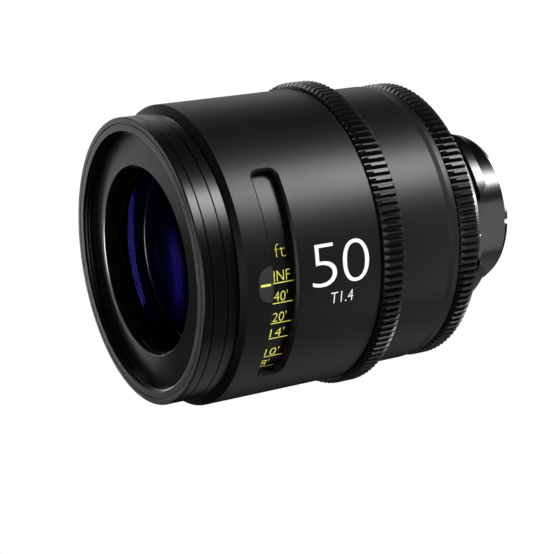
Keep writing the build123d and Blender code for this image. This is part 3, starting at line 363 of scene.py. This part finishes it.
# Front glass: three large elements in the front cell, their rims painted black.
# The second element's coating gives the strong blue reflection seen from the side.
flange_station = 119.5
glass_steps = 120
arc_steps = 16


def at(radius, clock, station):
    """A point from millimetres and degrees: the clock runs from +X towards +Z."""
    return Vector((radius * cos(radians(clock)), station - flange_station, radius * sin(radians(clock)))) / 1000


def glass_surface(shape, vertex, curve, edge):
    """The half profile of one polished surface, swept from its middle to its edge."""
    middle = shape.verts.new(at(0, 0, vertex))
    arc = bmesh.ops.spin(
        shape, geom=[middle], cent=at(0, 0, vertex + curve), axis=(0, 0, 1), angle=asin(edge / curve), steps=arc_steps
    )
    return arc["geom_last"][0]


def glass_element(name, vertex, thickness, front_curve, rear_curve, edge, coatings, rear_clear=None):
    """A polished element turned about the optical axis, with a black rim."""
    shape = bmesh.new()
    front = glass_surface(shape, vertex, front_curve, edge)
    rear = glass_surface(shape, vertex + thickness, rear_curve, rear_clear or edge)
    if rear_clear:
        corner = shape.verts.new((edge / 1000, rear.co.y, 0))
        shape.edges.new((rear, corner))
        rear = corner
    shape.edges.new((front, rear))
    bmesh.ops.spin(
        shape, geom=shape.verts[:] + shape.edges[:], cent=(0, 0, 0), axis=(0, 1, 0), angle=2 * pi,
        steps=glass_steps, use_merge=True,
    )
    element = finished(name, shape, *coatings, flat_black, crease=30)
    for face in element.data.polygons:
        reach = hypot(face.center.x, face.center.z) * 1000
        if hypot(face.normal.x, face.normal.z) > 0.9 or reach > (rear_clear or edge) and face.normal.y > 0:
            face.material_index = 2
        elif face.normal.y > 0:
            face.material_index = 1
    return element


faint_coating = coated_glass("faint_coated_glass", (0.3, 0.3, 1.0), 0.05, bend=1.5)
olive_coating = coated_glass("olive_coated_glass", (0.7, 0.6, 0.2), 0.08)
blue_coating = coated_glass("blue_coated_glass", (0.06, 0.055, 0.42), 0.25, bend=1.5)
navy_coating = coated_glass("navy_coated_glass", (0.045, 0.03, 0.62), 5.5, haze=0.2, bend=1.5)

element_3 = glass_element("lens_element_3_polished", 22.3, 6.5, 48, 110, 26, (olive_coating, green_coating))
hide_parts("lens_element_3")
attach(element_3, "lens_body")

element_2 = glass_element("lens_element_2_polished", 11.5, 10, 75, -190, 29.5, (faint_coating, navy_coating))
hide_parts("lens_element_2")
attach(element_2, "lens_body")

element_1 = glass_element(
    "lens_element_1_polished", 3.4, 3.2, 118, 52, 31.5, (blue_coating, faint_coating), rear_clear=29,
)
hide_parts("lens_element_1")
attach(element_1, "lens_body")


# Retaining rings of the front glass: thin threaded rings with turned edges.
# Fine beads of bright warm metal on their fronts are a painted highlight for the glints of the turned edges.
turn_steps = 240


def turned(shape, corners, rounding=0.0):
    """A closed outline of (radius, station) corners, eased and turned about the optical axis."""
    verts = [shape.verts.new(at(radius, 0, station)) for radius, station in corners]
    edges = [shape.edges.new(pair) for pair in zip(verts, verts[1:] + verts[:1])]
    if rounding:
        bmesh.ops.bevel(
            shape, geom=verts + edges, offset=rounding / 1000, affect="VERTICES", segments=2, profile=0.5,
            clamp_overlap=True, material=-1,
        )
        verts = [vert for vert in shape.verts if not vert.link_faces]
        edges = [edge for edge in shape.edges if not edge.link_faces]
    bmesh.ops.spin(
        shape, geom=verts + edges, cent=(0, 0, 0), axis=(0, 1, 0), angle=2 * pi, steps=turn_steps, use_merge=True
    )


ring_black = metal("ring_anodising", (0.0022, 0.0022, 0.0024), 0.26, grain=0.4)
# Bright warm metal as a painted highlight, for the glints on turned edges.
edge_glint_metal = metal("painted_edge_glint", (0.75, 0.7, 0.58), 0.3, metallic=1.0, grain=0.1)
bead_width = 0.15


def beaded_ring(name, corners, glint_beads):
    """A retaining ring with fine bright metal beads at (radius, station) on its front, a painted highlight for edge
    glints.
    """
    shape = bmesh.new()
    turned(shape, corners, rounding=0.04)
    plain = set(shape.faces)
    for radius, station in glint_beads:
        turned(shape, [
            (radius, station), (radius + bead_width, station), (radius + bead_width / 2, station - bead_width),
        ])
    for face in shape.faces:
        face.material_index = 0 if face in plain else 1
    return finished(name, shape, ring_black, edge_glint_metal)


inner_retainer = beaded_ring(
    "element_2_retaining_ring_turned", [(28.0, 15.64), (29.5, 15.64), (29.5, 17.44), (28.0, 16.82)],
    ((28.1, 15.66), (28.9, 15.66)),
)
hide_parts("element_2_retaining_ring")
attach(inner_retainer, "lens_body")

outer_retainer = beaded_ring(
    "front_retaining_ring_turned", [(30.9, 4.4), (33.5, 4.4), (33.5, 7.6), (31.5, 7.6), (30.9, 7.42)],
    (),
)
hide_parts("front_retaining_ring")
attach(outer_retainer, "lens_body")

# Front baffle plate: a shallow dish with fine turned grooves that break up stray light.
# It is black anodised aluminium, pressed into the front ring behind the filter thread.
# The turning leaves a gloss that spreads across the grooves, in two opposite fans.
plate_black = metal("plate_anodising", (0.003, 0.003, 0.0032), 0.28, grain=0.1, sheen=0.38)
turned_shader = plate_black.node_tree.nodes["Principled BSDF"]
turned_shader.inputs["Anisotropic"].default_value = 0.95
round_grain = plate_black.node_tree.nodes.new("ShaderNodeTangent")
round_grain.direction_type = "RADIAL"
round_grain.axis = "Y"
plate_black.node_tree.links.new(round_grain.outputs["Tangent"], turned_shader.inputs["Tangent"])
plate_hole = 31.5
hole_break = 0.2
plate_rim = 41.9
plate_rim_face = 3.2
plate_face = 2.65
plate_back = 4.4
plate_slope = (plate_rim_face - plate_face) / (plate_rim - plate_hole)
ridge_pitch = 0.4
ridge_height = 0.01
ridge_count = 24
plate_corners = [(plate_hole, plate_back), (plate_hole, plate_face + hole_break), (plate_hole + hole_break, plate_face)]
for count in range(ridge_count):
    radius = plate_hole + 0.5 + ridge_pitch * count
    level = plate_face + plate_slope * (radius - plate_hole)
    plate_corners += [(radius, level), (radius + ridge_pitch / 2, level + ridge_height)]
plate_corners += [(plate_rim, plate_rim_face), (plate_rim, plate_back)]
shape = bmesh.new()
turned(shape, plate_corners)
front_plate = finished("front_baffle_plate_turned", shape, plate_black, edge_glint_metal)
# The hole's edge break gets the bright metal, a painted highlight for the glint along the hole.
for face in front_plate.data.polygons:
    if hypot(face.center.x, face.center.z) * 1000 < plate_hole + hole_break and 0.3 < -face.normal.y < 0.9:
        face.material_index = 1
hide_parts("front_baffle_plate")
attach(front_plate, "lens_body")

# Front ring: turned aluminium with a filter thread, a shadow groove in its face and two
# fine grip grooves. It screws on the front of the main barrel.
fine_groove = 0.35
ring_corners = [
    (43.15, 0), (45.325, 0), (45.325, 0.5), (45.675, 0.5), (45.675, 0), (47.2, 0), (47.5, 0.3),
    (47.5, 3.1), (47.0, 3.1), (47.0, 3.1 + fine_groove), (47.5, 3.1 + fine_groove),
    (47.5, 8.1), (47.0, 8.1), (47.0, 8.1 + fine_groove), (47.5, 8.1 + fine_groove),
    (47.5, 11.8), (46.9, 11.8), (46.9, 12.3), (44.6, 12.3), (44.6, 19), (42, 19), (42, 2.6), (43, 2.6), (43, 0.15),
]
shape = bmesh.new()
turned(shape, ring_corners, rounding=0.06)
thread_pitch = 1.0
thread_turns = 1.6
crest = [
    shape.verts.new(at(radius, 0, station))
    for radius, station in ((43.04, 0.3), (42.5, 0.72), (42.5, 0.8), (43.04, 1.22))
]
bmesh.ops.spin(
    shape, geom=[shape.faces.new(crest)], cent=(0, 0, 0), axis=(0, 1, 0), angle=2 * pi * thread_turns,
    dvec=(0, thread_pitch / 1000 / turn_steps, 0), steps=int(turn_steps * thread_turns),
)
front_ring = finished("front_ring_turned", shape, ring_black)
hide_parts("front_ring")
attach(front_ring, "lens_body")


# Front barrel: a turned and bead-blasted aluminium shell, satin black anodised, with a
# milled window over the scale drum. Its figures are engraved and filled with white paint.
def eased(name, material, width=0.0):
    """A CAD node's shape, with its sharp edges broken if a width in millimetres is given."""
    shape = merged_copy(name, 0.3 if width else 0)
    if width:
        sharp = [edge for edge in shape.edges if edge.is_manifold and edge.calc_face_angle() > radians(28)]
        bmesh.ops.bevel(
            shape, geom=sharp, offset=width / 1000, affect="EDGES", segments=2, profile=0.5, clamp_overlap=True,
            material=-1,
        )
    piece = finished(f"{name}_eased", shape, material, turn_out=False)
    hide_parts(name)
    return piece


barrel_black = metal("barrel_anodising", (0.0022, 0.0022, 0.0024), 0.4, grain=0.5)
front_barrel = eased("front_barrel", barrel_black, 0.12)
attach(front_barrel, "lens_body")

paint_depth = 0.03
paint_strip = 0.7


def wrapped(flat, shape, radius):
    """Bend a flat form (station, clock, height) round a cylinder and add it to a shape."""
    low = min(vert.co.y for vert in flat.verts)
    high = max(vert.co.y for vert in flat.verts)
    strips = max(1, int(radians(high - low) * radius / paint_strip))
    for count in range(1, strips):
        bmesh.ops.bisect_plane(
            flat, geom=flat.verts[:] + flat.edges[:] + flat.faces[:],
            plane_co=(0, low + (high - low) * count / strips, 0), plane_no=(0, 1, 0),
        )
    bmesh.ops.remove_doubles(flat, verts=flat.verts, dist=0.0001)
    raised = bmesh.ops.extrude_face_region(flat, geom=flat.faces[:])["geom"]
    bmesh.ops.translate(
        flat, verts=[part for part in raised if isinstance(part, bmesh.types.BMVert)], vec=(0, 0, 2 * paint_depth)
    )
    bmesh.ops.recalc_face_normals(flat, faces=flat.faces)
    for vert in flat.verts:
        vert.co = at(radius - paint_depth + vert.co.z, vert.co.y, vert.co.x)
    bent = bpy.data.meshes.new("bent")
    flat.to_mesh(bent)
    flat.free()
    shape.from_mesh(bent)
    bpy.data.meshes.remove(bent)


def lettering(shape, text, radius, stations, clocks, weight=-0.012):
    """Plain thin letters fitted between two stations and two clock angles of a cylinder."""
    words = bpy.data.curves.new("words", "FONT")
    words.body = text
    words.offset = weight
    holder = bpy.data.objects.new("words", words)
    outline = bpy.data.meshes.new_from_object(holder)
    flat = bmesh.new()
    flat.from_mesh(outline)
    bpy.data.objects.remove(holder)
    bpy.data.curves.remove(words)
    bpy.data.meshes.remove(outline)
    for axis, (start, end) in ((0, stations), (1, clocks)):
        low = min(vert.co[axis] for vert in flat.verts)
        high = max(vert.co[axis] for vert in flat.verts)
        for vert in flat.verts:
            vert.co[axis] = start + (end - start) * (vert.co[axis] - low) / (high - low)
    wrapped(flat, shape, radius)


def stroke(shape, radius, stations, clocks):
    """A plain painted line or patch between two stations and two clock angles."""
    flat = bmesh.new()
    bmesh.ops.create_grid(flat, x_segments=1, y_segments=1, size=0.5)
    bmesh.ops.scale(flat, verts=flat.verts, vec=(stations[1] - stations[0], clocks[1] - clocks[0], 1))
    bmesh.ops.translate(flat, verts=flat.verts, vec=(sum(stations) / 2, sum(clocks) / 2, 0))
    wrapped(flat, shape, radius)


white_paint = metal("white_fill_paint", (0.9, 0.9, 0.9), 0.5, grain=0.1)
barrel_radius = 50.25
focal_clocks = (-4.4, 11.3)
focal_weight = -0.018
shape = bmesh.new()
lettering(shape, "5", barrel_radius, (36.5, 45.8), focal_clocks, weight=focal_weight)
lettering(shape, "0", barrel_radius, (48.1, 57.9), focal_clocks, weight=focal_weight)
lettering(shape, "T1.4", barrel_radius, (43.7, 52.1), (-11.6, -7.2))
barrel_figures = finished("barrel_figures", shape, white_paint, turn_out=False)
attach(barrel_figures, "lens_body")

# Index tab: a small D-shaped aluminium plate let into the barrel in front of the window.
# Its line of yellow paint marks the focus distance.
tab_grey = metal("tab_anodising", (0.028, 0.028, 0.029), 0.4, grain=0.25)
index_tab = eased("index_tab", tab_grey, 0.1)
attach(index_tab, "lens_body")

yellow_paint = metal("yellow_fill_paint", (0.9, 0.88, 0.12), 0.5, grain=0.2)
tab_radius = 50.2
shape = bmesh.new()
stroke(shape, tab_radius, (18.3, 21.8), (-degrees(0.375 / tab_radius), degrees(0.375 / tab_radius)))
index_line = finished("index_line", shape, yellow_paint, turn_out=False)
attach(index_line, "lens_body")

# Scale drum: a black anodised ring that turns with the focus gear behind the window.
# Its distances in feet are engraved and filled with yellow paint, each over its own line.
drum_black = metal("drum_anodising", (0.0022, 0.0022, 0.0024), 0.37, grain=0.5)
drum_radius = 47.2
drum = finished("focus_scale_drum_turned", merged_copy("focus_scale_drum"), drum_black, turn_out=False)
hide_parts("focus_scale_drum")
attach(drum, "focus_ring")

line_half = degrees(0.17 / drum_radius)
distances = {
    -0.9: "INF", -9.0: "40'", -17.7: "20'", -24.9: "14'", -34.9: "10'", -41.6: "8'", -50.3: "7'", -58.7: "6'",
    -70.4: "5'", -88.0: "4'", -100.6: "3'6\"", -117.3: "3'", -128.0: "2'9\"", -140.8: "2'6\"", -156.4: "2'3\"",
    -176.0: "2'", -192.0: "1'10\"", -211.0: "1'8\"", -234.7: "1'6\"", -264.0: "1'4\"",
}
shape = bmesh.new()
lettering(shape, "ft", drum_radius, (25.6, 29.7), (8.9, 13.9), weight=-0.03)
for clock, distance in distances.items():
    stroke(shape, drum_radius, (24.2, 31.4), (clock - line_half, clock + line_half))
    figures = distance.replace("'", "").replace('"', "")
    width = min(5.8, 2.1 * len(figures) + 0.7 * (len(distance) - len(figures)))
    lettering(shape, distance, drum_radius, (24.6, 24.6 + width), (clock + 0.7, clock + 4.8))
focus_scale = finished("focus_scale", shape, yellow_paint, turn_out=False)
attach(focus_scale, "focus_ring")

# Focus gear ring: an aluminium ring with 129 hobbed teeth for a motor's pinion.
# Its tooth ends are bevelled, and it turns on the main barrel between the two shells.
gear_black = metal("gear_anodising", (0.004, 0.004, 0.0042), 0.32, grain=0.25)
focus_gear = eased("focus_gear_ring", gear_black)
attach(focus_gear, "focus_ring")

# Rear barrel: the second shell, turned with a bevelled shoulder towards the iris gear.
# It is fixed to the main barrel and has the same blasted satin black finish.
rear_barrel = eased("rear_barrel", barrel_black, 0.12)
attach(rear_barrel, "lens_body")

# Iris gear ring: like the focus gear, with 119 narrower teeth.
# It turns between the rear barrel and the mount base.
iris_gear = eased("iris_gear_ring", gear_black)
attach(iris_gear, "iris_ring")

# Mount base: the tapered rear housing, turned from aluminium and anodised as the barrel.
# A brass shim under the mount sets the flange distance.
base_black = metal("base_anodising", (0.003, 0.003, 0.0032), 0.28, grain=0.2)
mount_base = eased("mount_base", base_black, 0.12)
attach(mount_base, "lens_body")
finish(metal("shim_brass", (0.6, 0.5, 0.25), 0.3, metallic=1.0, grain=0.1), "mount_shim")

# Lens mount: stainless steel, turned with four lugs and a notched register tube, and
# finished in black chrome. Four countersunk screws hold it, and a white dot marks its top.
black_chrome = metal("black_chrome", (0.1, 0.1, 0.102), 0.2, metallic=1.0, grain=0.1)
lens_mount = eased("lens_mount", black_chrome, 0.15)
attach(lens_mount, "lens_body")

dot_radius = 0.5
dot_seat = 30.7
dot_station = 116.2
dot_clock = -4
shape = bmesh.new()
dot = bmesh.new()
bmesh.ops.create_circle(dot, cap_ends=True, segments=24, radius=dot_radius)
bmesh.ops.scale(dot, verts=dot.verts, vec=(1, degrees(1 / dot_seat), 1))
bmesh.ops.translate(dot, verts=dot.verts, vec=(dot_station, dot_clock, 0))
wrapped(dot, shape, dot_seat)
mount_dot = finished("mount_dot", shape, white_paint, turn_out=False)
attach(mount_dot, "lens_body")

# Mount screws: four countersunk steel screws with hexagon sockets, flush with the flange.
# They go through the mount and the shim into the mount base.
screw_steel = metal("screw_steel", (0.45, 0.45, 0.46), 0.25, metallic=1.0, grain=0.1)
screw_circle = 30.2
screw_head = 1.9
screw_shank = 1.0
screw_front = 107.5
socket_radius = 0.75
socket_depth = 0.8
shape = bmesh.new()
for clock in (45, 135, 225, 315):
    screw = bmesh.new()
    levels = []
    for radius, station in (
        (screw_shank, screw_front), (screw_shank, flange_station - screw_head + screw_shank),
        (screw_head - 0.1, flange_station - 0.1), (screw_head - 0.2, flange_station),
    ):
        rim = bmesh.ops.create_circle(screw, segments=24, radius=radius)["verts"]
        bmesh.ops.translate(screw, verts=rim, vec=(0, 0, station))
        levels.append(rim)
    for station in (flange_station, flange_station - socket_depth):
        rim = bmesh.ops.create_circle(screw, segments=6, radius=socket_radius)["verts"]
        bmesh.ops.translate(screw, verts=rim, vec=(0, 0, station))
        levels.append(rim)
    for low, high in zip(levels, levels[1:]):
        loops = {edge for vert in low + high for edge in vert.link_edges if len(edge.link_faces) < 2}
        near = [
            edge for edge in loops
            if all(any(vert is end for end in low) for vert in edge.verts)
            or all(any(vert is end for end in high) for vert in edge.verts)
        ]
        bmesh.ops.bridge_loops(screw, edges=near)
    bmesh.ops.contextual_create(screw, geom=levels[0])
    bmesh.ops.contextual_create(screw, geom=levels[-1])
    for vert in screw.verts:
        reach = vert.co.z
        spot = at(screw_circle, clock, reach)
        out = at(1, clock, flange_station) * vert.co.x
        side = at(1, clock + 90, flange_station) * vert.co.y
        vert.co = spot + out + side
    kept = bpy.data.meshes.new("screw")
    screw.to_mesh(kept)
    screw.free()
    shape.from_mesh(kept)
    bpy.data.meshes.remove(kept)
mount_screws = finished("mount_screws_socketed", shape, screw_steel)
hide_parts("mount_screws")
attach(mount_screws, "lens_body")

# Rear retaining ring and light baffle: both black anodised, inside the register tube.
# The baffle's round hole trims the light cone that leaves the last element.
finish(ring_black, "rear_retaining_ring")
finish(plate_black, "rear_light_baffle")
